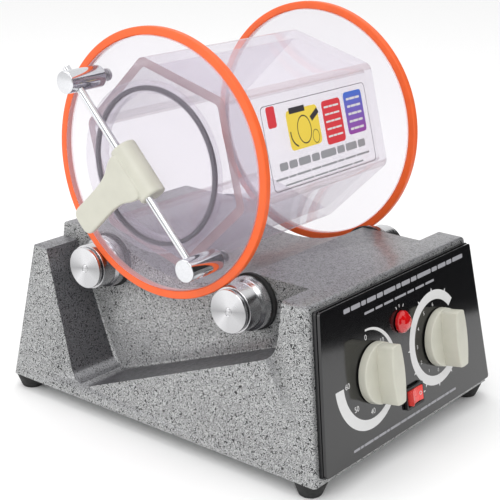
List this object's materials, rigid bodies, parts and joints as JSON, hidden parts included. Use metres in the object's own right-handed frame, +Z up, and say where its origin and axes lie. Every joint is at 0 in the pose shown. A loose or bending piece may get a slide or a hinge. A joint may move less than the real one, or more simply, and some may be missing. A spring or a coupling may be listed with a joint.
{
  "type": "rotary rock tumbler",
  "caption": "Table-top rotary tumbler: a clear hexagonal barrel with orange-rimmed round flanges on driven spools, in a grey cast housing with a sloping black control panel.",
  "frame": {"origin": "on the ground under the middle of the whole object's box", "axes": "+Z up, -Y the way the control panel faces, -X the end with the barrel's lid"},
  "size_m": [0.229, 0.2975, 0.2761],
  "materials": {
    "hammertone": "satin",
    "black_acrylic": "gloss",
    "gloss_black": "gloss",
    "ivory_plastic": "satin",
    "red_lens": "gloss",
    "red_plastic": "satin",
    "dark_plastic": "satin",
    "black_rubber": "matte",
    "orange_rubber": "satin",
    "grey_rubber": "matte",
    "clear_acrylic": "gloss",
    "chrome": "polished",
    "bright_steel": "satin",
    "steel": "satin",
    "zinc_steel": "satin",
    "motor_can": "satin",
    "aluminium": "satin",
    "brass": "satin",
    "green_board": "satin"
  },
  "bodies": {
    "base": {"housing": "hammertone", "base_plate": "zinc_steel", "panel_backplate": "black_acrylic", "panel_face": "gloss_black", "timer_unit": "dark_plastic", "speed_control": "zinc_steel", "lamp_body": "dark_plastic", "lamp_lens": "red_lens", "switch_frame": "dark_plastic", "motor": "motor_can", "motor_bracket": "aluminium", "drive_belt": "black_rubber", "circuit_board": "green_board", "cord_gland": "dark_plastic", "foot_front_left": "black_rubber", "foot_front_right": "black_rubber", "foot_far_left": "black_rubber", "foot_far_right": "black_rubber", "foot_screw_front_left": "zinc_steel", "foot_screw_front_right": "zinc_steel", "foot_screw_far_left": "zinc_steel", "foot_screw_far_right": "zinc_steel", "drive_washer_lid_side": "black_rubber", "drive_washer_rear_side": "black_rubber", "idler_washer_lid_side": "black_rubber", "idler_washer_rear_side": "black_rubber", "drive_bearing_lid_side": "brass", "drive_bearing_rear_side": "brass", "idler_bearing_lid_side": "brass", "idler_bearing_rear_side": "brass"},
    "barrel": {"barrel_shell": "clear_acrylic", "front_flange": "clear_acrylic", "rear_flange": "clear_acrylic", "front_ring": "orange_rubber", "rear_ring": "orange_rubber", "lid": "clear_acrylic", "lid_seal": "grey_rubber", "clamp_post_upper": "chrome", "clamp_post_lower": "chrome", "post_screw_upper": "steel", "post_screw_lower": "steel"},
    "drive_roller": {"drive_shaft": "steel", "drive_spool_lid_side": "bright_steel", "drive_spool_rear_side": "bright_steel", "driven_pulley": "aluminium"},
    "idler_roller": {"idler_shaft": "steel", "idler_spool_lid_side": "bright_steel", "idler_spool_rear_side": "bright_steel"},
    "motor_rotor": {"motor_shaft": "steel", "motor_pulley": "aluminium"},
    "timer": {"timer_knob": "ivory_plastic", "timer_spindle": "brass"},
    "speed": {"speed_knob": "ivory_plastic", "speed_spindle": "brass"},
    "rocker": {"switch_rocker": "red_plastic"},
    "cam": {"cam_lever": "ivory_plastic"},
    "rod": {"cross_rod": "chrome"}
  },
  "joints": [
    {"name": "barrel_spin", "type": "hinge", "parent": "base", "child": "barrel", "pos_m": [0.005, 0.0177, 0.1863], "axis": [1, 0, 0], "continuous": true},
    {"name": "drive_roller_spin", "type": "hinge", "parent": "base", "child": "drive_roller", "pos_m": [0.005, -0.0473, 0.1028], "axis": [1, 0, 0], "continuous": true},
    {"name": "idler_roller_spin", "type": "hinge", "parent": "base", "child": "idler_roller", "pos_m": [0.005, 0.0827, 0.1028], "axis": [1, 0, 0], "continuous": true},
    {"name": "motor_spin", "type": "hinge", "parent": "base", "child": "motor_rotor", "pos_m": [0.005, 0.0342, 0.052], "axis": [1, 0, 0], "continuous": true},
    {"name": "timer_turn", "type": "hinge", "parent": "base", "child": "timer", "pos_m": [-0.035, -0.12118, 0.06465], "axis": [0, 0.9846, -0.175], "range_deg": [0, 300]},
    {"name": "speed_turn", "type": "hinge", "parent": "base", "child": "speed", "pos_m": [0.045, -0.12118, 0.06465], "axis": [0, 0.9846, -0.175], "range_deg": [-150, 150]},
    {"name": "switch_rock", "type": "hinge", "parent": "base", "child": "rocker", "pos_m": [0.0055, -0.12831, 0.03596], "axis": [0, -0.175, -0.9846], "range_deg": [0, 16]},
    {"name": "cam_swing", "type": "hinge", "parent": "barrel", "child": "cam", "pos_m": [-0.1055, 0.0177, 0.1863], "axis": [0, 0.6947, 0.7193], "range_deg": [0, 170]},
    {"name": "rod_slide", "type": "slide", "parent": "barrel", "child": "rod", "axis": [0, 0.6947, 0.7193], "range_m": [0, 0.055]}
  ],
  "couplings": [
    {"joint": "drive_roller_spin", "follows": "barrel_spin", "ratio": -5.7198},
    {"joint": "idler_roller_spin", "follows": "barrel_spin", "ratio": -5.7198},
    {"joint": "motor_spin", "follows": "barrel_spin", "ratio": -10.868}
  ]
}
